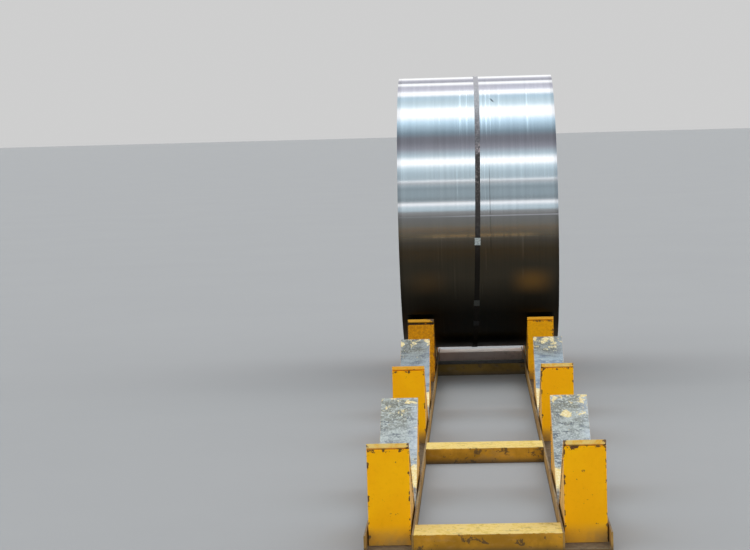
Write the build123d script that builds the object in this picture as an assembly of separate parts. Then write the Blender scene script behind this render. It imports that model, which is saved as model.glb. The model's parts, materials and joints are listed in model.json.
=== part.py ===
from build123d import *
from math import atan, cos, degrees, radians, sin, sqrt, tan
import os

# A coil of steel strip, strapped once round, that lies on its side in the last of three
# V saddles. The saddles stand in steel channels that lie on the floor, in two rails of two
# lengths each, joined by cross members. Millimetres. X is along the coil's axis, Y runs away
# from the empty end of the rack, Z is up. The origin is on the floor, under the middle of the
# whole object's length.

# Coil
coil_diameter = 1800
coil_width = 1000
bore_diameter = 610
strip_thickness = 2.5
tail_angle = 330          # where the outer wrap ends, anticlockwise from +Y seen from +X
tail_run = 75             # degrees over which the wrap below comes out to the full radius
head_angle = 60           # where the innermost wrap starts, in the bore
head_run = 60             # degrees over which the next wrap comes in to the bore's radius

# Turns that stand a little deeper or prouder on the two ends
end_band_count = 8
end_band_depth = 3        # of the deepest band
end_band_share = 0.2      # of the least deep band, as a share of the deepest
end_band_beat = 2.3       # radians from one band to the next in the wave of their depths
end_rim_width = 40

# Strap and its crimped seals
strap_width = 32
strap_thickness = 1
strap_clearance = 0.3     # between coil and strap, and between strap and seal
strap_shift = -22         # of the strap's middle along X, from the coil's middle
strap_lean = 1.9          # degrees by which the strap runs out of square with the coil's axis
strap_lean_angle = 130    # where round the coil the strap leans furthest towards +X
seal_length = 46
seal_plate = 2
seal_side_gap = 0.6
crimp_radius = 3
crimp_spacing = 20
crimp_reach = 14          # length of the crimping tool's round tooth
seal_angles = [189.5, 217.5, 230, 261.5]
lap_angle = 223.75        # middle of the length where the strap's two ends lap
lap_length = 320

# V saddle
coil_seat_clearance = 0.3
slope_angle = 33          # of the wear plates from level
toe_gap = 62              # between the feet of the two wear plates of a saddle
saddle_height = 402       # from the channel's web to the upper corner of a wear plate
saddle_width = 166
saddle_inset = 36         # of a saddle's outer side from the coil's end
wear_plate = 15
end_plate = 10
side_plate = 10
side_plate_inset = 3
side_plate_toe = 12       # height at which the thin tip of a side plate is cut off

# Rack
saddle_count = 3
saddle_pitch = 2500
rail_width = 192
rail_height = 75
rail_web = 10
rail_flange = 8
rail_root_radius = 4
rail_toe_radius = 2
rail_near_overhang = 120  # past the first saddle's end plate
rail_far_overhang = 50    # past the last saddle's end plate
rail_joint_offset = 200   # from the last empty saddle's end plate to the joint in each rail
rail_joint_gap = 0.5
cross_width = 200
cross_offsets = [-5670, -3630, -185, 510]  # middles of the cross members, from the coil's axis

# Values worked out from those above
coil_radius = coil_diameter / 2
bore_radius = bore_diameter / 2
strap_inner_radius = coil_radius + strap_clearance
strap_outer_radius = strap_inner_radius + strap_thickness
lap_outer_radius = strap_outer_radius + strap_thickness
lap_half = degrees(lap_length / 2 / coil_radius)
strap_swing = coil_radius * tan(radians(strap_lean))
seat_radius = coil_radius + coil_seat_clearance
slope_sin = sin(radians(slope_angle))
slope_cos = cos(radians(slope_angle))
saddle_half_length = toe_gap / 2 + saddle_height / tan(radians(slope_angle))
corner_drop = (seat_radius - slope_sin * saddle_half_length) / slope_cos
coil_height = rail_web + saddle_height + corner_drop

rail_spacing = coil_width - saddle_width - 2 * saddle_inset
rack_near_end = -(saddle_count - 1) * saddle_pitch - saddle_half_length - rail_near_overhang
rack_far_end = saddle_half_length + rail_far_overhang
rail_joint = saddle_half_length + rail_joint_offset - saddle_pitch
object_far_end = max(rack_far_end, strap_outer_radius)
coil_y = -(rack_near_end + object_far_end) / 2


def polar(radius, angle):
    return (radius * cos(radians(angle)), radius * sin(radians(angle)))


def wrap_point(radius, step, angle, run, turn):
    """A point of the wrap that the strip's end lies on, turn degrees on from that end.

    The wrap is an arc that touches the given radius where its run ends and lies one step
    lower at the strip's end. A step below zero makes it lie higher there.
    """
    shift = step / (1 - cos(radians(run)))
    back = radians(run - turn)
    reach = shift * cos(back) + sqrt((radius - shift) ** 2 - (shift * sin(back)) ** 2)
    return polar(reach, angle + turn)


def stepped_circle(radius, step, angle, run):
    """A circle with the small step that an end of the strip makes at the given angle."""
    around = CenterArc((0, 0), radius, angle + run, 360 - run)
    start = wrap_point(radius, step, angle, run, 0)
    middle = wrap_point(radius, step, angle, run, run / 2)
    finish = wrap_point(radius, step, angle, run, run)
    return make_face([around, Line(polar(radius, angle), start), ThreePointArc(start, middle, finish)])


def coil_outline():
    """The coil seen along its axis, with the steps of the strip's two ends."""
    outside = stepped_circle(coil_radius, strip_thickness, tail_angle, tail_run)
    return outside - stepped_circle(bore_radius, -strip_thickness, head_angle, head_run)


def end_relief():
    """The ring of shallow steps between the turns, cut from the +X end."""
    inner = bore_radius + end_rim_width
    band = (coil_radius - bore_radius - 2 * end_rim_width) / end_band_count
    face = coil_width / 2
    middle = (1 + end_band_share) / 2
    swing = (1 - end_band_share) / 2
    points = [(face + end_band_depth, inner)]
    for number in range(end_band_count):
        depth = end_band_depth * (middle + swing * sin(end_band_beat * number))
        points.append((face - depth, inner + band * number))
        points.append((face - depth, inner + band * (number + 1)))
    points.append((face + end_band_depth, inner + band * end_band_count))
    section = make_face(Polyline(*points, close=True))
    return revolve(section, Axis.X)


def make_coil():
    body = extrude(Plane.YZ * coil_outline(), coil_width / 2, both=True)
    relief = end_relief()
    return body - relief - mirror(relief, Plane.YZ)


def hoop(inner_radius, outer_radius, width, start=0, stop=360):
    """A band of rectangular section round the coil's axis, from one angle to another."""
    middle = (inner_radius + outer_radius) / 2
    section = Pos(0, middle, 0) * Rectangle(width, outer_radius - inner_radius)
    return Rot(start, 0, 0) * revolve(section, Axis.X, stop - start)


def make_strap():
    """The strap once round, with the length where its two ends lap twice as thick.

    It lies flat on the coil between two parallel planes that lean.
    """
    width = strap_width + 4 * strap_swing
    around = hoop(strap_inner_radius, strap_outer_radius, width)
    start = lap_angle - lap_half
    stop = lap_angle + lap_half
    around += hoop(strap_inner_radius, lap_outer_radius, width, start, stop)
    slab = Box(strap_width, 2 * coil_diameter, 2 * coil_diameter)
    leaning = Rot(strap_lean_angle, 0, 0) * Rot(0, 0, -strap_lean) * slab
    return Pos(strap_shift, 0, 0) * (around & leaning)


def seal_place(angle):
    """Where a seal made at angle 0 comes to lie on the leaning strap."""
    past = radians(angle - strap_lean_angle)
    along = strap_shift + strap_swing * cos(past)
    turn = -degrees(atan(tan(radians(strap_lean)) * sin(past)))
    return Rot(angle, 0, 0) * Pos(along, 0, 0) * Rot(0, turn, 0)


def make_seal(angle):
    """A sleeve folded over the strap and notched by the crimping tool on both edges."""
    covered = lap_outer_radius if abs(angle - lap_angle) < lap_half else strap_outer_radius
    sleeve_inner = covered + strap_clearance
    sleeve_outer = sleeve_inner + seal_plate
    channel_width = strap_width + 2 * seal_side_gap
    width = channel_width + 2 * seal_plate
    half = degrees(seal_length / 2 / coil_radius)
    seal = hoop(strap_inner_radius, sleeve_outer, width, -half, half)
    seal -= hoop(coil_radius, sleeve_inner, channel_width)
    at_seal = Pos(0, coil_radius, 0)
    for side in (-1, 1):
        for row in (-1, 1):
            place = at_seal * Pos(side * width / 2, 0, row * crimp_spacing / 2) * Rot(90, 0, 0)
            seal -= place * Cylinder(crimp_radius, crimp_reach)
    return seal_place(angle) * seal


def plane_height(y, depth):
    """Height of a surface that lies depth below the seat, y from the saddle's middle."""
    return coil_height - (seat_radius + depth + slope_sin * y) / slope_cos


def plane_reach(height, depth):
    """Where that surface comes down to a height."""
    return ((coil_height - height) * slope_cos - seat_radius - depth) / slope_sin


def plate_from(points, width):
    """A plate or prism with its outline in the YZ plane and its width along X."""
    return extrude(Plane.YZ * make_face(Polyline(*points, close=True)), width / 2, both=True)


def make_wear_plate():
    outer = -saddle_half_length
    points = [
        (outer, plane_height(outer, 0)),
        (plane_reach(rail_web, 0), rail_web),
        (plane_reach(rail_web, wear_plate), rail_web),
        (outer, plane_height(outer, wear_plate)),
    ]
    return plate_from(points, saddle_width)


def make_end_plate():
    outer = -saddle_half_length
    inner = outer + end_plate
    top = plane_height(inner, wear_plate)
    points = [(outer, rail_web), (inner, rail_web), (inner, top), (outer, top)]
    return plate_from(points, saddle_width)


def make_side_plates():
    outer = -saddle_half_length + end_plate
    toe = plane_reach(rail_web + side_plate_toe, wear_plate)
    points = [
        (outer, rail_web),
        (toe, rail_web),
        (toe, plane_height(toe, wear_plate)),
        (outer, plane_height(outer, wear_plate)),
    ]
    plate = plate_from(points, side_plate)
    offset = saddle_width / 2 - side_plate_inset - side_plate / 2
    return Compound([Pos(-offset, 0, 0) * plate, Pos(offset, 0, 0) * plate])


def make_channel(width, length):
    """A rolled channel along Y with its web down, its outer face at Z = 0."""
    half = width / 2
    inside = half - rail_flange
    outline = Polyline(
        (-half, 0), (half, 0), (half, rail_height), (inside, rail_height), (inside, rail_web),
        (-inside, rail_web), (-inside, rail_height), (-half, rail_height), close=True)
    section = make_face(outline)
    roots = section.vertices().filter_by(lambda v: abs(v.X) < half and v.Y == rail_web)
    section = fillet(roots, rail_root_radius)
    toes = section.vertices().filter_by(lambda v: abs(v.X) < half and v.Y == rail_height)
    section = fillet(toes, rail_toe_radius)
    return extrude(Plane.XZ * section, length / 2, both=True)


def make_cross_member():
    length = rail_spacing - rail_width
    return Pos(0, 0, rail_height) * Rot(180, 0, 90) * make_channel(cross_width, length)


def save(part, name):
    export_step(part, os.path.join("parts", name + ".step"))


def save_saddle(station, end, side, turn):
    """The three kinds of plate of one wedge, half of a saddle on one rail."""
    station_y = coil_y - (saddle_count - station) * saddle_pitch
    rail_x = side[1] * rail_spacing / 2
    place = Pos(rail_x, station_y, 0) * Rot(0, 0, turn)
    name = f"saddle_{station}_{end}_{side[0]}"
    save(place * make_wear_plate(), name + "_wear_plate")
    save(place * make_end_plate(), name + "_end_plate")
    save(place * make_side_plates(), name + "_side_plates")


os.makedirs("parts", exist_ok=True)

coil_place = Pos(0, coil_y, coil_height)
save(coil_place * make_coil(), "steel_coil")
save(coil_place * make_strap(), "coil_strap")
for number, angle in enumerate(seal_angles, 1):
    save(coil_place * make_seal(angle), f"strap_seal_{number}")

lengths = (("", rack_near_end, rail_joint), ("_end", rail_joint + rail_joint_gap, rack_far_end))
for name, side in (("left", -1), ("right", 1)):
    for suffix, start, stop in lengths:
        rail = make_channel(rail_width, stop - start)
        place = Pos(side * rail_spacing / 2, coil_y + (start + stop) / 2, 0)
        save(place * rail, f"rail_{name}{suffix}")

for number, offset in enumerate(cross_offsets, 1):
    save(Pos(0, coil_y + offset, 0) * make_cross_member(), f"cross_member_{number}")

for station in range(1, saddle_count + 1):
    for side in (("left", -1), ("right", 1)):
        save_saddle(station, "near", side, 0)
        save_saddle(station, "far", side, 180)
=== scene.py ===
import json
import math
import random

import bmesh
import bpy
from mathutils import Matrix, Vector


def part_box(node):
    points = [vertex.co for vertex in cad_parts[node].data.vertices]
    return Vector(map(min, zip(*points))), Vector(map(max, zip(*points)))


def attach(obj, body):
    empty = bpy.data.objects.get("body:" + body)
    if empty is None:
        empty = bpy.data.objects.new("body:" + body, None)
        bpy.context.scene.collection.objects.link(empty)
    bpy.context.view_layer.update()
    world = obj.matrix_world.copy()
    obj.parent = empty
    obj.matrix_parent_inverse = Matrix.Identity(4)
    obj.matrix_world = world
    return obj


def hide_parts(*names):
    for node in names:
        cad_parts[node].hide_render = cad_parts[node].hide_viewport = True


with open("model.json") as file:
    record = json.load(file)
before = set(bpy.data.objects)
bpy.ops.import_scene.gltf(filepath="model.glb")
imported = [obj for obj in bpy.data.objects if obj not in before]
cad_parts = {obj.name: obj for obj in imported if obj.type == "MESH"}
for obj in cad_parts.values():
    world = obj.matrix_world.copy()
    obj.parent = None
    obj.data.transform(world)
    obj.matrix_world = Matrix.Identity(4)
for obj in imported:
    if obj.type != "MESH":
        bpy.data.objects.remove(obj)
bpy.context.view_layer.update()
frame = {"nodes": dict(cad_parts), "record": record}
nodes = frame["nodes"]

# Sizes read from the frame. All lengths here are in metres and all angles in degrees
coil_low, coil_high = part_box("steel_coil")
coil_width = coil_high.x - coil_low.x
coil_radius = (coil_high.z - coil_low.z) / 2
coil_centre = Vector((0, coil_low.y + coil_radius, (coil_high.z + coil_low.z) / 2))
bore_radius = frame["record"]["mounts"][0]["dims"]["r_mm"] / 1000
web_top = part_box("saddle_1_near_left_wear_plate")[0].z
saddle_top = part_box("saddle_1_near_left_wear_plate")[1].z
saddle_low, saddle_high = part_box("saddle_1_near_right_end_plate")
saddle_x = (saddle_low.x + saddle_high.x) / 2
saddle_half_width = (saddle_high.x - saddle_low.x) / 2
second_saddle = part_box("saddle_2_near_left_wear_plate")[0].y
rail_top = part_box("rail_left")[1].z
rail_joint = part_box("rail_left_end")[0].y

# The strip's two ends, as in the solids
tail_angle = 330
tail_run = 75
head_angle = 60
head_run = 60
strip_thickness = 0.0025

# The coil's mesh
turn_rings = 48
turn_depth = 0.0022
ring_seed = 5
around_steps = 240
step_rise = 0.03
smooth_below = 20

# The plates' meshes
edge_round = 0.0015
weld_distance = 1e-6
flat_below = 0.5
sharp_above = 35


# Node graphs

class Graph:
    """A node tree, built by short calls that return sockets."""

    def __init__(self, tree):
        self.tree = tree
        self.tree.nodes.clear()

    def new(self, kind, **settings):
        node = self.tree.nodes.new("ShaderNode" + kind)
        for name, value in settings.items():
            setattr(node, name, value)
        return node

    def link(self, source, target):
        if isinstance(source, bpy.types.NodeSocket):
            self.tree.links.new(source, target)
        elif isinstance(source, (tuple, list)) and len(source) == 3 and target.type == "RGBA":
            target.default_value = (*source, 1)
        else:
            target.default_value = source

    def fill(self, node, *values):
        """Gives a node its first inputs in turn and returns its first output."""
        for value, target in zip(values, node.inputs):
            self.link(value, target)
        return node.outputs[0]

    def fill_named(self, node, **values):
        """Gives a node inputs by name, with _ for a space, and returns its first output."""
        for name, value in values.items():
            self.link(value, node.inputs[name.replace("_", " ")])
        return node.outputs[0]

    def math(self, kind, a, b=0.0):
        return self.fill(self.new("Math", operation=kind), a, b)

    def product(self, first, *others):
        for other in others:
            first = self.math("MULTIPLY", first, other)
        return first

    def stirred(self, value, noise, amount):
        """The value, moved up and down by a noise."""
        return self.math("ADD", value, self.product(self.math("SUBTRACT", noise, 0.5), amount))

    def vector(self, kind, a, b):
        return self.fill(self.new("VectorMath", operation=kind), a, b)

    def parts(self, vector):
        node = self.new("SeparateXYZ")
        self.link(vector, node.inputs[0])
        return node.outputs

    def join(self, x, y, z):
        return self.fill(self.new("CombineXYZ"), x, y, z)

    def step(self, value, low, high, out_low=0.0, out_high=1.0):
        """A smooth step from out_low to out_high while the value goes from low to high."""
        node = self.new("MapRange", interpolation_type="SMOOTHSTEP")
        return self.fill(node, value, low, high, out_low, out_high)

    def near(self, value, middle, reach):
        """1 at the middle, falling smoothly to 0 at the reach on both sides."""
        away = self.math("ABSOLUTE", self.math("SUBTRACT", value, middle))
        return self.step(away, 0, reach, 1, 0)

    def ramp(self, value, low, high, stops):
        """A colour by value, through stops of (value, colour)."""
        node = self.new("ValToRGB")
        while len(node.color_ramp.elements) < len(stops):
            node.color_ramp.elements.new(0.5)
        for element, (at, colour) in zip(node.color_ramp.elements, stops):
            element.position = (at - low) / (high - low)
            element.color = (*colour, 1)
        return self.fill(node, self.math("DIVIDE", self.math("SUBTRACT", value, low), high - low))

    def mix(self, share, a, b, blend="MIX"):
        node = self.new("Mix", data_type="RGBA", blend_type=blend)
        self.link(share, node.inputs["Factor"])
        colours = [socket for socket in node.inputs if socket.type == "RGBA"]
        self.link(a, colours[0])
        self.link(b, colours[1])
        return [socket for socket in node.outputs if socket.type == "RGBA"][0]


class Surface(Graph):
    """A material with one Principled shader."""

    def __init__(self, name):
        self.material = bpy.data.materials.new(name)
        self.material.use_nodes = True
        super().__init__(self.material.node_tree)
        self.shader = self.new("BsdfPrincipled")
        self.link(self.shader.outputs[0], self.new("OutputMaterial").inputs[0])
        self.place = self.new("TexCoord").outputs["Object"]

    def set(self, **values):
        self.fill_named(self.shader, **values)

    def from_coil(self):
        """X along the coil's axis, Y and Z from the axis."""
        return self.parts(self.vector("SUBTRACT", self.place, tuple(coil_centre)))

    def normal(self):
        return self.parts(self.new("NewGeometry").outputs["Normal"])

    def faces_aside(self):
        """1 where the surface faces along X."""
        return self.step(self.math("ABSOLUTE", self.normal()[0]), 0.5, 0.8)

    def across_saddle(self):
        """Distance across a wedge from its own middle, the same on both rails."""
        x = self.math("ABSOLUTE", self.parts(self.place)[0])
        return self.math("ABSOLUTE", self.math("SUBTRACT", x, saddle_x))

    def around_axis(self):
        """Tangent that runs round the coil's axis."""
        return self.new("Tangent", direction_type="RADIAL", axis="X").outputs[0]

    def noise(self, scale, detail=3.0, rough=0.55, stretch=(1, 1, 1), place=None, warp=0.0):
        where = self.vector("MULTIPLY", place or self.place, stretch)
        return self.fill_named(self.new("TexNoise"), Vector=where, Scale=scale, Detail=detail, Roughness=rough,
                               Distortion=warp)

    def bump(self, height, strength, distance):
        return self.fill_named(self.new("Bump"), Strength=strength, Distance=distance, Height=height)


# The coil's materials

# Painted shade: how much of the strip's brightness is left, by height from the coil's axis
painted_shade_low, painted_shade_high = -0.9, 0.9
painted_shade_by_height = [
    (-0.62, (0.065, 0.062, 0.050)), (-0.50, (0.12, 0.105, 0.077)), (-0.38, (0.20, 0.17, 0.12)),
    (-0.20, (0.185, 0.16, 0.11)), (-0.145, (0.25, 0.22, 0.18)), (-0.105, (0.465, 0.395, 0.295)),
    (-0.05, (0.60, 0.54, 0.45)), (0.02, (0.62, 0.60, 0.58)), (0.05, (0.68, 0.67, 0.67)), (0.30, (1, 1, 1)),
]

# Light scuffs round the coil on its shoulder: place along the axis, half width and strength
scuffs = [(-0.100, 0.010, 0.8), (-0.058, 0.007, 0.7), (0.036, 0.006, 0.8), (0.064, 0.008, 0.8),
          (0.090, 0.006, 0.6), (0.150, 0.012, 0.35), (0.325, 0.009, 0.7)]

# Margins, by distance from the coil's ends, and marks and painted reflections: x along the axis, arc round
# the coil from its top (below zero towards the camera), the others by height from the axis
margin_outer, margin_inner = 0.012, 0.030
gouge_x, gouge_arc, gouge_slant = -0.175, -0.558, 0.5
scratch_x, scratch_top, scratch_foot = 0.076, 0.36, -0.24
# Heights of the painted reflections of a brown and of a pale line along the coil
brown_reflection_line, pale_reflection_line = -0.110, 0.012
# Place of the painted reflection of the saddle's orange paint, low at the coil's sides
saddle_reflection_x, saddle_reflection_height = 0.33, -0.408


def strip_steel():
    """Bright rolled strip, sharp round the coil and drawn out along its axis, darkened low down as painted
    shade.
    """
    graph = Surface("strip_steel")
    x, y, z = graph.from_coil()
    off_middle = graph.math("ABSOLUTE", x)
    facing = graph.step(y, 0, -0.5)
    arc = graph.math("MULTIPLY", graph.math("ARCTAN2", y, z), coil_radius)
    flat = graph.join(x, arc, 0)
    lines = graph.noise(1.0, 3, 0.6, stretch=(260, 1.5, 1), place=flat)
    broad = graph.noise(1.0, 2, 0.5, stretch=(38, 0.8, 1), place=flat)
    cloud = graph.noise(2.2, 4, 0.6)
    tone = graph.math("ADD", graph.product(lines, 0.6), graph.product(broad, 0.4))
    colour = graph.mix(graph.step(tone, 0.35, 0.65), (0.475, 0.495, 0.52), (0.535, 0.555, 0.58))
    colour = graph.mix(graph.step(cloud, 0.35, 0.75, 0, 0.3), colour, (0.48, 0.47, 0.46))

    # Light rubbed streaks and scuffs round the coil, and the darker margins of the strip
    streak = graph.noise(1.0, 1, 0.5, stretch=(75, 0.2, 1), place=flat)
    length = graph.noise(1.0, 2, 0.5, stretch=(14, 3.5, 1), place=flat)
    rubbed = graph.product(graph.step(streak, 0.64, 0.72), graph.step(length, 0.50, 0.60), 0.75)
    colour = graph.mix(rubbed, colour, (0.80, 0.83, 0.86))
    shoulder = graph.product(graph.step(arc, -0.95, -0.75), graph.step(arc, -0.38, -0.50),
                             graph.step(lines, 0.35, 0.6))
    for middle, reach, share in scuffs:
        scuff = graph.product(shoulder, graph.near(x, middle, reach), share)
        colour = graph.mix(scuff, colour, (0.90, 0.92, 0.94))
    margin = graph.step(off_middle, coil_width / 2 - margin_inner, coil_width / 2 - margin_outer, 0, 0.35)
    colour = graph.mix(margin, colour, (0.22, 0.22, 0.23))

    # A short gouge beside the strap near the top, and a faint scratch under it
    across = graph.near(graph.math("ADD", x, graph.product(arc, gouge_slant)), gouge_x, 0.010)
    along = graph.near(arc, gouge_arc, 0.032)
    colour = graph.mix(graph.product(across, along), colour, (0.04, 0.04, 0.045))
    scratch = graph.product(graph.near(x, scratch_x, 0.006), graph.step(z, scratch_top, scratch_top - 0.10),
                            graph.step(z, scratch_foot, scratch_foot + 0.08), 0.4)
    colour = graph.mix(scratch, colour, (0.10, 0.10, 0.10))

    # Painted shade, standing in for the shaded floor that the steel mirrors: the lower the darker
    painted_shade_height = graph.stirred(z, cloud, 0.03)
    colour = graph.mix(1.0, colour, graph.ramp(painted_shade_height, painted_shade_low, painted_shade_high, painted_shade_by_height), "MULTIPLY")

    # Painted reflections on the front: a brown and a pale line along the coil, and the saddle's orange paint
    # low at its sides
    brown = graph.product(graph.near(z, brown_reflection_line, 0.019), graph.step(off_middle, 0.26, 0.42, 1, 0),
                          graph.step(broad, 0.35, 0.55, 0.5, 1), facing)
    colour = graph.mix(brown, colour, (0.40, 0.31, 0.20))
    pale = graph.product(graph.near(z, pale_reflection_line, 0.0065), graph.step(x, -0.35, 0.05, 0.25, 1), facing, 0.8)
    colour = graph.mix(pale, colour, (0.62, 0.61, 0.64))
    saddle_reflection = graph.product(graph.near(off_middle, saddle_reflection_x, 0.17), graph.near(z, saddle_reflection_height, 0.11),
                         graph.step(x, -0.3, 0.3, 0.25, 1.0), facing)
    colour = graph.mix(saddle_reflection, colour, (0.34, 0.195, 0.065))

    # Duller below the middle, with the last step at the brown line
    rough = graph.math("ADD", graph.step(z, 0.04, -0.11, 0.15, 0.25), graph.step(z, -0.112, -0.130, 0, 0.07))
    rough = graph.stirred(rough, broad, 0.03)
    graph.set(Base_Color=colour, Metallic=1.0, Roughness=rough, Anisotropic=0.9, Anisotropic_Rotation=0.25,
              Normal=graph.bump(broad, 0.04, 0.002), Tangent=graph.around_axis())
    return graph.material


def bore_steel():
    """The strip's first turn, dull, oily and dusty."""
    graph = Surface("bore_steel")
    x, y, z = graph.from_coil()
    flat = graph.join(x, graph.math("MULTIPLY", graph.math("ARCTAN2", y, z), bore_radius), 0)
    lines = graph.noise(1.0, 3, 0.6, stretch=(120, 2, 1), place=flat)
    cloud = graph.noise(5.0, 4, 0.6)
    colour = graph.mix(graph.step(lines, 0.35, 0.65), (0.16, 0.16, 0.16), (0.24, 0.24, 0.24))
    colour = graph.mix(graph.step(cloud, 0.45, 0.65, 0, 0.6), colour, (0.15, 0.125, 0.10))
    # Painted shade: darker towards the bottom of the bore
    colour = graph.mix(graph.step(z, 0.05, -0.25, 0, 0.7), colour, (0.07, 0.062, 0.05))
    graph.set(Base_Color=colour, Metallic=0.9, Roughness=graph.step(cloud, 0.3, 0.7, 0.38, 0.55),
              Normal=graph.bump(lines, 0.1, 0.001))
    return graph.material


def turn_edges():
    """The ends of the coil: the turns' edges make fine rings, and their sheen runs from bore to rim."""
    graph = Surface("turn_edges")
    y, z = graph.from_coil()[1:]
    radius = graph.math("SQRT", graph.math("ADD", graph.product(y, y), graph.product(z, z)))
    rings = graph.noise(1.0, 3, 0.7, place=graph.join(graph.product(radius, 420), 0, 0))
    broad = graph.noise(1.0, 3, 0.6, place=graph.join(graph.product(radius, 26), y, z))
    cloud = graph.noise(4.0, 4, 0.6)
    colour = graph.mix(graph.step(rings, 0.3, 0.7), (0.075, 0.078, 0.085), (0.27, 0.28, 0.30))
    colour = graph.mix(graph.step(broad, 0.50, 0.62, 0, 0.75), colour, (0.07, 0.07, 0.075))
    colour = graph.mix(graph.step(broad, 0.40, 0.30, 0, 0.6), colour, (0.38, 0.40, 0.42))
    stained = graph.product(graph.step(cloud, 0.55, 0.70), graph.step(rings, 0.35, 0.55))
    colour = graph.mix(graph.product(stained, 0.55), colour, (0.20, 0.12, 0.07))
    # Painted shade: darker towards the bottom of the ends
    colour = graph.mix(graph.step(z, -0.35, -0.75, 0, 0.6), colour, (0.06, 0.055, 0.05))
    graph.set(Base_Color=colour, Metallic=1.0, Roughness=graph.step(broad, 0.3, 0.7, 0.28, 0.42),
              Anisotropic=0.85, Anisotropic_Rotation=0.25, Tangent=graph.around_axis(),
              Normal=graph.bump(rings, 0.35, 0.002))
    return graph.material


def strap_steel():
    """Waxed strapping: dull grey on top, darker with rusty specks down the sides."""
    graph = Surface("strap_steel")
    spots = graph.noise(85, 3, 0.6)
    cloud = graph.noise(9, 3, 0.6)
    height = graph.from_coil()[2]
    fleck = graph.mix(graph.step(height, 0.30, 0.05), (0.17, 0.14, 0.13), (0.075, 0.065, 0.06))
    dark = graph.mix(graph.step(spots, 0.52, 0.62), (0.044, 0.037, 0.035), fleck)
    light = graph.mix(graph.step(spots, 0.45, 0.65), (0.115, 0.105, 0.11), (0.21, 0.19, 0.195))
    bright = graph.mix(graph.step(spots, 0.45, 0.65), (0.27, 0.26, 0.265), (0.42, 0.40, 0.41))
    light = graph.mix(graph.step(height, 0.48, 0.80), light, bright)
    colour = graph.mix(graph.step(graph.stirred(height, cloud, 0.15), 0.37, 0.43), dark, light)
    worn = graph.product(graph.near(height, 0.430, 0.045), graph.step(spots, 0.42, 0.60))
    colour = graph.mix(worn, colour, (0.42, 0.34, 0.34))
    # Painted shade: nearly black over the lower half of the coil
    colour = graph.mix(graph.step(height, -0.02, -0.30), colour, (0.016, 0.013, 0.010))
    graph.set(Base_Color=colour, Metallic=0.75, Roughness=graph.step(spots, 0.3, 0.7, 0.36, 0.55),
              Normal=graph.bump(spots, 0.3, 0.001))
    return graph.material


def seal_steel():
    """Dull zinc seals, darkened low down as painted shade."""
    graph = Surface("seal_steel")
    cloud = graph.noise(120, 3, 0.6)
    height = graph.from_coil()[2]
    colour = graph.mix(graph.step(cloud, 0.4, 0.65), (0.56, 0.62, 0.63), (0.34, 0.38, 0.38))
    # Painted shade: darker low down on the coil
    colour = graph.mix(graph.step(height, -0.25, -0.50), colour, (0.075, 0.078, 0.07))
    colour = graph.mix(graph.step(height, -0.58, -0.68), colour, (0.035, 0.035, 0.035))
    graph.set(Base_Color=colour, Metallic=0.6, Roughness=graph.step(cloud, 0.3, 0.7, 0.35, 0.5),
              Normal=graph.bump(cloud, 0.3, 0.001))
    return graph.material


# The rack's materials

def under_coil(graph, y):
    """1 at the loaded saddle, 0 at the two empty ones."""
    return graph.step(y, rail_joint, rail_joint + 0.6)


def saddle_paint():
    """Thick orange yellow paint: bright and chipped brown on the end plates, sandy with dust on the sides."""
    graph = Surface("saddle_paint")
    cloud = graph.noise(6, 4, 0.6)
    fine = graph.noise(60, 4, 0.65)
    chips = graph.noise(34, 5, 0.7)
    x, y, height = graph.parts(graph.place)
    aside = graph.faces_aside()
    colour = graph.mix(graph.step(cloud, 0.35, 0.7), (0.96, 0.41, 0.0), (1.0, 0.46, 0.0))
    colour = graph.mix(graph.step(fine, 0.5, 0.75, 0, 0.3), colour, (0.78, 0.31, 0.0))
    sandy = graph.mix(graph.step(cloud, 0.35, 0.65), (0.62, 0.32, 0.060), (0.72, 0.42, 0.12))
    sandy = graph.mix(graph.step(fine, 0.45, 0.7, 0, 0.5), sandy, (0.50, 0.25, 0.045))
    colour = graph.mix(aside, colour, sandy)

    # Under the coil: soot, and painted shade, most of it on the left
    loaded = under_coil(graph, y)
    left = graph.step(x, 0.05, -0.05)
    soot_and_painted_shade = graph.product(loaded, graph.step(fine, 0.35, 0.6, 0.45, 0.85), graph.step(left, 0, 1, 0.55, 1.15))
    colour = graph.mix(soot_and_painted_shade, colour, (0.54, 0.19, 0.004))

    # Chipped, most along the end plates' borders, and dirty at the foot
    border = graph.step(graph.across_saddle(), saddle_half_width - 0.012, saddle_half_width - 0.002)
    border = graph.math("SUBTRACT", border, aside)
    border = graph.math("MAXIMUM", border, graph.step(height, saddle_top - 0.045, saddle_top - 0.028))
    worn = graph.step(graph.math("ADD", chips, graph.product(border, 0.13)), 0.66, 0.69)
    colour = graph.mix(worn, colour, (0.12, 0.05, 0.02))
    dirt = graph.product(graph.step(height, 0.10, web_top), graph.step(cloud, 0.3, 0.6, 0.3, 0.8))
    colour = graph.mix(dirt, colour, (0.26, 0.17, 0.09))

    # A painted shadow in the gap under the wear plate of the loaded saddle's left wedge
    painted_gap_shadow = graph.product(graph.step(height, saddle_high.z - 0.013, saddle_high.z - 0.009), loaded, left,
                         graph.step(chips, 0.36, 0.44, 0.3, 1))
    colour = graph.mix(painted_gap_shadow, colour, (0.02, 0.012, 0.008))
    bumps = graph.math("SUBTRACT", graph.product(cloud, 0.4), worn)
    graph.set(Base_Color=colour, Roughness=graph.step(fine, 0.3, 0.7, 0.5, 0.65), Specular_IOR_Level=0.1,
              Normal=graph.bump(bumps, 0.4, 0.002))
    return graph.material


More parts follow.
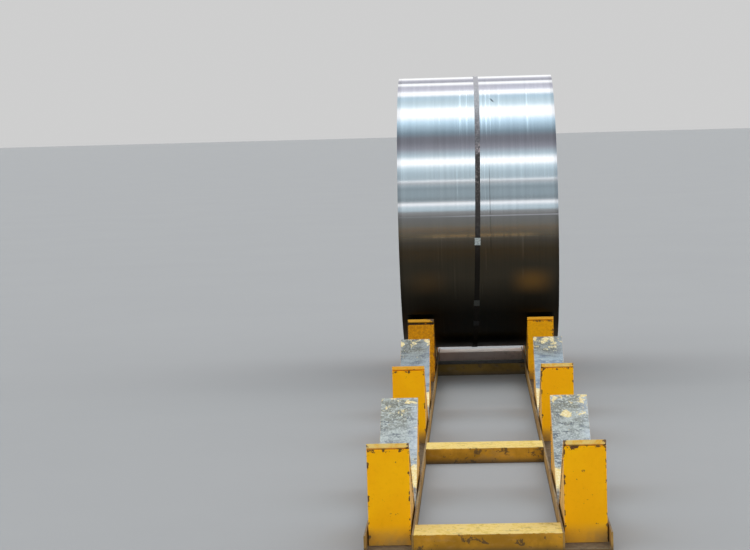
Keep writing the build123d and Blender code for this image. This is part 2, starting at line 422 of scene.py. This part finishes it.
def rack_paint(name, face, dust, rubbed_paint, dirt=1.0):
    """The same paint under dust: pale on what faces up, brown on what stands, cream on rubbed top edges."""
    graph = Surface(name)
    cloud = graph.noise(4, 5, 0.65)
    fine = graph.noise(45, 4, 0.65)
    streaks = graph.noise(9, 4, 0.6, stretch=(1, 0.3, 2.5))
    y, height = graph.parts(graph.place)[1:]
    up = graph.step(graph.normal()[2], 0.4, 0.8)
    colour = graph.mix(graph.step(cloud, 0.38, 0.62, 0, dirt), face, tuple(0.55 * c for c in face))
    streaked = tuple(0.6 * c + 0.04 for c in face)
    colour = graph.mix(graph.step(streaks, 0.5, 0.7, 0, 0.7 * dirt), colour, streaked)
    # Darker at the foot: dirt, and painted shade where the paint meets the floor
    colour = graph.mix(graph.step(height, 0.035, 0.0, 0, 0.85 * dirt), colour, (0.06, 0.045, 0.03))
    settled = graph.mix(graph.step(fine, 0.4, 0.65), dust, tuple(0.72 * c for c in dust))
    settled = graph.mix(graph.step(cloud, 0.5, 0.68, 0, 0.6), settled, tuple(0.42 * c for c in dust))
    colour = graph.mix(up, colour, settled)
    rubbed = graph.product(graph.step(height, rail_top - 0.004, rail_top - 0.001), graph.step(fine, 0.42, 0.5))
    colour = graph.mix(graph.product(rubbed, 0.6), colour, rubbed_paint)
    spots = graph.product(graph.step(graph.noise(22, 5, 0.7, warp=0.4), 0.58, 0.62),
                          graph.step(up, 0, 1, 0.75, 0.35), dirt)
    colour = graph.mix(spots, colour, (0.055, 0.038, 0.026))
    colour = graph.mix(graph.near(y, rail_joint, 0.007), colour, (0.035, 0.02, 0.012))
    graph.set(Base_Color=colour, Roughness=graph.step(fine, 0.3, 0.7, 0.6, 0.8), Specular_IOR_Level=0.12,
              Normal=graph.bump(fine, 0.3, 0.002))
    return graph.material


# A wear plate has paint below one level and dirt below the other, from 0 at its foot to 1 at its top. One
# patch of paint stands alone, on the first saddle's far right wedge
paint_level = 0.35
foot_level = 0.215
patch_x, patch_y = 0.365, -2.03


def wear_steel():
    """Wear plates: scuffed blue grey steel with a painted highlight and a painted blue sheen on the slope, some
    paint left, and painted edges.
    """
    graph = Surface("wear_steel")
    cloud = graph.noise(9, 5, 0.65, warp=0.6)
    scuffed = graph.noise(26, 5, 0.7, stretch=(0.5, 1, 1), warp=0.4)
    fine = graph.noise(110, 4, 0.65)
    patches = graph.noise(24, 5, 0.7, warp=0.5)
    smears = graph.noise(30, 5, 0.7, stretch=(0.45, 1, 1), warp=0.4)
    wave = graph.noise(5, 3, 0.6)
    x, y, height = graph.parts(graph.place)
    level = graph.math("DIVIDE", graph.math("SUBTRACT", height, web_top), saddle_top - web_top)
    level = graph.stirred(graph.stirred(level, wave, 0.22), patches, 0.08)

    # Bare steel, smeared and scratched, yellowish towards the top
    bare = graph.mix(graph.step(cloud, 0.36, 0.64), (0.145, 0.153, 0.15), (0.315, 0.325, 0.318))
    bare = graph.mix(graph.step(level, 0.60, 0.85, 0, 0.8), bare, (0.16, 0.145, 0.10))
    bare = graph.mix(graph.step(scuffed, 0.47, 0.56, 0, 0.65), bare, (0.40, 0.41, 0.38))
    bare = graph.mix(graph.step(smears, 0.545, 0.62, 0, 0.8), bare, (0.055, 0.065, 0.085))
    bare = graph.mix(graph.step(fine, 0.50, 0.64, 0, 0.7), bare, (0.50, 0.50, 0.46))
    bare = graph.mix(graph.step(fine, 0.44, 0.36, 0, 0.5), bare, (0.10, 0.10, 0.10))

    # A painted highlight on the right of each plate, darker towards the coil, and a painted blue sheen on the
    # second saddle
    side = graph.math("SIGN", x)
    right = graph.math("SUBTRACT", x, graph.product(side, saddle_x))
    painted_highlight = graph.product(graph.step(right, 0.3 * saddle_half_width, saddle_half_width),
                             graph.step(cloud, 0.3, 0.5))
    bare = graph.mix(graph.product(painted_highlight, 0.45), bare, (0.50, 0.53, 0.58))
    bare = graph.mix(graph.step(y, -2.0, 0.5, 0, 0.42), bare, (0.05, 0.05, 0.05))
    painted_blue_sheen = graph.product(graph.step(y, -1.6, -0.6), graph.step(level, 0.86, 0.70),
                           graph.step(x, -0.2, 0.2, 0.35, 0.80))
    blue = graph.mix(graph.step(smears, 0.44, 0.60), (0.33, 0.385, 0.42), (0.15, 0.19, 0.25))
    bare = graph.mix(painted_blue_sheen, bare, blue)

    # What is left of the paint, and the dirt at the foot
    paint = graph.mix(graph.step(fine, 0.4, 0.65), (0.72, 0.50, 0.17), (0.80, 0.66, 0.38))
    kept = graph.step(graph.math("ADD", patches, graph.step(level, 0.78, 1.02, 0, 0.14)), 0.64, 0.67)
    patch = graph.product(graph.near(x, patch_x, 0.05), graph.near(y, patch_y, 0.05), 0.45)
    kept = graph.math("MAXIMUM", kept, graph.step(graph.math("ADD", patches, patch), 0.78, 0.81))
    slope = graph.mix(graph.product(kept, 0.85), bare, paint)
    slope = graph.mix(graph.step(level, paint_level + 0.01, paint_level - 0.01), slope, paint)
    foot = graph.mix(graph.step(smears, 0.42, 0.58), (0.27, 0.24, 0.21), (0.13, 0.105, 0.085))
    foot = graph.mix(graph.step(fine, 0.5, 0.65, 0, 0.6), foot, (0.40, 0.34, 0.26))
    ragged = graph.math("ADD", level, graph.product(fine, 0.06))
    slope = graph.mix(graph.step(ragged, foot_level + 0.025, foot_level - 0.025), slope, foot)

    # The edges keep their paint, brown where it chipped, and fresh on two wedges
    aside = graph.faces_aside()
    edge = graph.mix(graph.step(patches, 0.42, 0.6), (0.90, 0.60, 0.17), (0.90, 0.45, 0.03))
    edge = graph.mix(aside, edge, (0.66, 0.38, 0.10))
    loaded = under_coil(graph, y)
    edge = graph.mix(loaded, edge, (0.80, 0.36, 0.006))
    fresh = graph.product(side, graph.math("SUBTRACT", graph.product(loaded, 2), 1),
                          graph.step(y, second_saddle - 0.1, second_saddle - 0.05))
    edge = graph.mix(graph.step(fresh, 0.4, 0.6, 0, 0.85), edge, (0.94, 0.40, 0.0))
    corner = graph.step(graph.across_saddle(), saddle_half_width - 0.020, saddle_half_width - 0.002, 0, 0.16)
    corner = graph.product(corner, graph.math("SUBTRACT", 1.0, aside))
    corner = graph.product(corner, graph.step(fresh, 0.4, 0.6, 1, 0))
    edge = graph.mix(graph.step(graph.math("ADD", smears, corner), 0.60, 0.64), edge, (0.16, 0.08, 0.035))

    up = graph.step(graph.normal()[2], 0.5, 0.75)
    colour = graph.mix(up, edge, slope)
    bare_share = graph.product(up, graph.step(kept, 0.0, 0.5, 1, 0),
                               graph.step(level, paint_level - 0.01, paint_level + 0.02))
    graph.set(Base_Color=colour, Metallic=graph.product(bare_share, 0.4),
              Roughness=graph.step(cloud, 0.3, 0.7, 0.38, 0.58), Normal=graph.bump(fine, 0.35, 0.002))
    return graph.material


# Steel coil

def stepped_radius(radius, step, angle, run, turn):
    """The radius of a wound face with the small step that an end of the strip makes."""
    past = (turn - angle) % 360
    if past > run:
        return radius
    shift = step / (1 - math.cos(math.radians(run)))
    back = math.radians(run - past)
    return shift * math.cos(back) + math.sqrt((radius - shift) ** 2 - (shift * math.sin(back)) ** 2)


def coil_profile(rng):
    """Radius and X of the turns' edges, from the bore out on the left end and back in on the right."""
    half = coil_width / 2
    ring = (coil_radius - bore_radius) / turn_rings
    ends = []
    for side in (-1, 1):
        stations = []
        for number in range(turn_rings):
            depth = 0 if number in (0, turn_rings - 1) else rng.random() * turn_depth
            inner = bore_radius + ring * number
            stations += [(inner, side * (half - depth)), (inner + ring, side * (half - depth))]
        ends.append(stations)
    return ends[0] + ends[1][::-1]


def make_coil(*materials):
    """The wound strip as a lathed mesh. The materials are for the barrel, the ends and the bore."""
    angles = [tail_angle + 360 * i / around_steps for i in range(around_steps)]
    angles += [tail_angle + 360 - step_rise, head_angle - step_rise]
    angles = sorted({angle % 360 for angle in angles})
    ring = (coil_radius - bore_radius) / turn_rings
    profile = coil_profile(random.Random(ring_seed))
    bm = bmesh.new()
    rows = []
    for radius, x in profile:
        row = []
        outer = max(0.0, (radius - coil_radius + ring) / ring)
        inner = max(0.0, (bore_radius + ring - radius) / ring)
        for angle in angles:
            out = stepped_radius(coil_radius, strip_thickness, tail_angle, tail_run, angle) - coil_radius
            bore = stepped_radius(bore_radius, -strip_thickness, head_angle, head_run, angle) - bore_radius
            r = radius + outer * out + inner * bore
            a = math.radians(angle)
            row.append(bm.verts.new((x, coil_centre.y + r * math.cos(a), coil_centre.z + r * math.sin(a))))
        rows.append(row)
    count = len(angles)
    for i in range(len(rows)):
        j = (i + 1) % len(rows)
        wound = abs(profile[i][1] - profile[j][1]) > coil_width / 2
        for k in range(count):
            n = (k + 1) % count
            face = bm.faces.new((rows[i][k], rows[j][k], rows[j][n], rows[i][n]))
            face.smooth = wound
            face.material_index = 1 if not wound else 0 if profile[i][0] == coil_radius else 2
    bmesh.ops.recalc_face_normals(bm, faces=bm.faces)
    for edge in bm.edges:
        flat = edge.calc_face_angle(0) < math.radians(smooth_below)
        edge.smooth = flat and all(face.smooth for face in edge.link_faces)
    coil = add_piece("coil_body", bm, "steel_coil")
    for material in materials:
        coil.data.materials.append(material)


def add_piece(name, bm, node):
    """A mesh object in the place of a CAD node."""
    mesh = bpy.data.meshes.new(name)
    bm.to_mesh(mesh)
    bm.free()
    piece = bpy.data.objects.new(name, mesh)
    bpy.context.scene.collection.objects.link(piece)
    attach(piece, "root")
    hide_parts(node)
    return piece


def make_plate(node, material):
    """A CAD node's own shape with its sharp edges broken."""
    bm = bmesh.new()
    bm.from_mesh(nodes[node].data)
    bmesh.ops.remove_doubles(bm, verts=bm.verts, dist=weld_distance)
    bmesh.ops.dissolve_limit(bm, angle_limit=math.radians(flat_below), verts=bm.verts, edges=bm.edges)
    sharp = [edge for edge in bm.edges if edge.calc_face_angle(0) > math.radians(sharp_above)]
    bmesh.ops.bevel(bm, geom=sharp, offset=edge_round, offset_type="OFFSET", segments=2, profile=0.5,
                    affect="EDGES", clamp_overlap=True)
    for face in bm.faces:
        face.smooth = False
    piece = add_piece(f"worn_{node}", bm, node)
    piece.data.materials.append(material)


make_coil(strip_steel(), turn_edges(), bore_steel())

# The rack's paint: colour of what stands, of the dust on what lies, and of the rubbed top edges
saddle, wear = saddle_paint(), wear_steel()
rail_finish = rack_paint("rail_paint", (0.43, 0.235, 0.062), (0.165, 0.118, 0.074), (0.30, 0.19, 0.075))
cross_finish = rack_paint("cross_paint", (0.62, 0.28, 0.02), (0.60, 0.40, 0.08), (0.80, 0.58, 0.22))
# Two cross members get their own paint: the one under the coil darkened with dirt and painted shade, and the
# far one pale with dust and made paler still as painted light
cross_finishes = {
    "cross_member_3": rack_paint("shaded_cross_paint", (0.15, 0.09, 0.02), (0.012, 0.012, 0.011),
                                 (0.03, 0.027, 0.02)),
    "cross_member_4": rack_paint("far_cross_paint_and_painted_light", (0.95, 0.80, 0.74), (0.80, 0.72, 0.64),
                                 (0.90, 0.82, 0.74), dirt=0.2),
}
finishes = {
    "rail": rail_finish,
    "cross_member": cross_finish,
    "wear_plate": wear,
    "end_plate": saddle,
    "side_plates": saddle,
}
for node in sorted(nodes):
    for key, material in finishes.items():
        if key in node:
            make_plate(node, cross_finishes.get(node, material))

strap, seal = strap_steel(), seal_steel()
for node, part in nodes.items():
    if node == "coil_strap" or node.startswith("strap_seal"):
        part.data.materials.clear()
        part.data.materials.append(strap if node == "coil_strap" else seal)


# Studio: floor, world and camera

floor_reach = 400


def make_floor():
    mesh = bpy.data.meshes.new("studio_floor")
    corners = [(-floor_reach, -floor_reach, 0), (floor_reach, -floor_reach, 0), (floor_reach, floor_reach, 0),
               (-floor_reach, floor_reach, 0)]
    mesh.from_pydata(corners, [], [(0, 1, 2, 3)])
    floor = bpy.data.objects.new("studio_floor", mesh)
    bpy.context.scene.collection.objects.link(floor)
    graph = Surface("studio_floor")
    cloud = graph.noise(0.6, 4, 0.6)
    graph.set(Base_Color=graph.mix(cloud, (0.257, 0.246, 0.239), (0.281, 0.268, 0.259)), Roughness=0.8)
    mesh.materials.append(graph.material)


# The studio's vault, from the front horizon (0) over the top (90) to the back horizon (180): soft strip
# lights that run along X, as angle, brightness and tint
vault = [
    (0, 0.50, "warm"), (2.6, 0.5, "warm"), (4, 1.50, "cool"), (7.5, 1.42, "cool"), (9, 2.7, "white"),
    (10, 2.7, "white"), (11.4, 0.62, "cool"), (13.5, 0.56, "cool"), (15.5, 0.74, "cool"), (20, 0.72, "cool"),
    (22.5, 0.56, "cool"), (24.5, 0.8, "cool"), (28, 0.86, "white"), (28.7, 2.9, "white"), (29.5, 0.88, "cool"),
    (36, 0.94, "cool"), (40.5, 1.28, "cool"), (43.8, 2.25, "white"), (46.5, 2.25, "white"),
    (50.5, 1.08, "cool"), (57.5, 0.50, "lilac"), (63, 0.34, "lilac"), (68, 0.31, "lilac"), (73, 0.50, "blue"),
    (79, 0.95, "blue"), (85, 1.55, "blue"), (91, 2.25, "white"), (99, 2.25, "white"), (104, 1.5, "cool"),
    (109, 1.22, "cool"), (117, 1.14, "blue"), (121, 2.1, "white"), (125, 2.1, "white"),
    (128.5, 1.15, "lilac"), (137, 0.88, "lilac"), (141, 1.9, "white"), (144, 1.9, "white"),
    (147, 0.58, "lilac"), (155, 0.78, "lilac"), (162, 1.6, "white"), (174, 0.62, "white"), (180, 0.62, "white"),
]
tints = {
    "white": (1, 1, 1), "warm": (1.02, 1.0, 0.96), "cool": (0.84, 1.02, 1.10), "blue": (0.74, 0.98, 1.14),
    "lilac": (0.97, 0.96, 1.08),
}

# A plain wall hides the vault near the horizon, up to the first angle, and has given way to it at the second
wall_level = 0.62
wall_solid, wall_gone = 2.8, 4

# All of it is brighter towards the two sides, by the X of the direction
side_light = 1.35
side_start, side_full = 0.32, 0.55

# A colour ramp holds no more than 1, so its colours are divided by this and the background multiplies by it
ramp_top = 4.0


def make_world():
    world = bpy.data.worlds.new("studio")
    bpy.context.scene.world = world
    world.use_nodes = True
    graph = Graph(world.node_tree)
    x, y, z = graph.parts(graph.new("TexCoord").outputs["Generated"])
    turn = graph.math("DIVIDE", graph.math("ARCTAN2", z, graph.math("MULTIPLY", y, -1)), math.pi)

    # The stops are too many for one colour ramp
    half = len(vault) // 2
    strips = []
    for part in (vault[:half + 1], vault[half:]):
        stops = [(angle / 180, tuple(level * c / ramp_top for c in tints[tint])) for angle, level, tint in part]
        strips.append(graph.ramp(turn, 0, 1, stops))
    lights = graph.mix(graph.math("GREATER_THAN", turn, vault[half][0] / 180), *strips)

    above_wall = graph.step(z, math.sin(math.radians(wall_solid)), math.sin(math.radians(wall_gone)))
    colour = graph.mix(above_wall, (wall_level / ramp_top,) * 3, lights)
    strength = graph.step(graph.math("ABSOLUTE", x), side_start, side_full, ramp_top, ramp_top * side_light)
    background = graph.fill_named(graph.new("Background"), Color=colour, Strength=strength)
    graph.link(background, graph.new("OutputWorld").inputs[0])


# The camera stands at eye level on the loaded rack's line, turned a little left and held with a slight roll.
# Its angles are in radians
eye_from_coil = Vector((-0.0244, -13.2666, 0.5616))
look_left = 0.0508
look_down = 0.0729
camera_roll = 0.0267
focal_pixels = 1982.9
frame_width = 750
sensor_millimetres = 36
clip_end = 1000


def make_camera():
    forward = Vector((-math.sin(look_left) * math.cos(look_down), math.cos(look_left) * math.cos(look_down),
                      -math.sin(look_down)))
    level_right = forward.cross(Vector((0, 0, 1))).normalized()
    level_up = level_right.cross(forward)
    right = level_right * math.cos(camera_roll) - level_up * math.sin(camera_roll)
    up = level_up * math.cos(camera_roll) + level_right * math.sin(camera_roll)
    data = bpy.data.cameras.new("camera")
    data.sensor_width = sensor_millimetres
    data.lens = sensor_millimetres * focal_pixels / frame_width
    data.clip_end = clip_end
    camera = bpy.data.objects.new("camera", data)
    bpy.context.scene.collection.objects.link(camera)
    axes = Matrix((right, up, -forward)).transposed()
    camera.matrix_world = Matrix.Translation(coil_centre + eye_from_coil) @ axes.to_4x4()
    bpy.context.scene.camera = camera


make_floor()
make_world()
make_camera()
bpy.context.scene.view_settings.view_transform = "Standard"
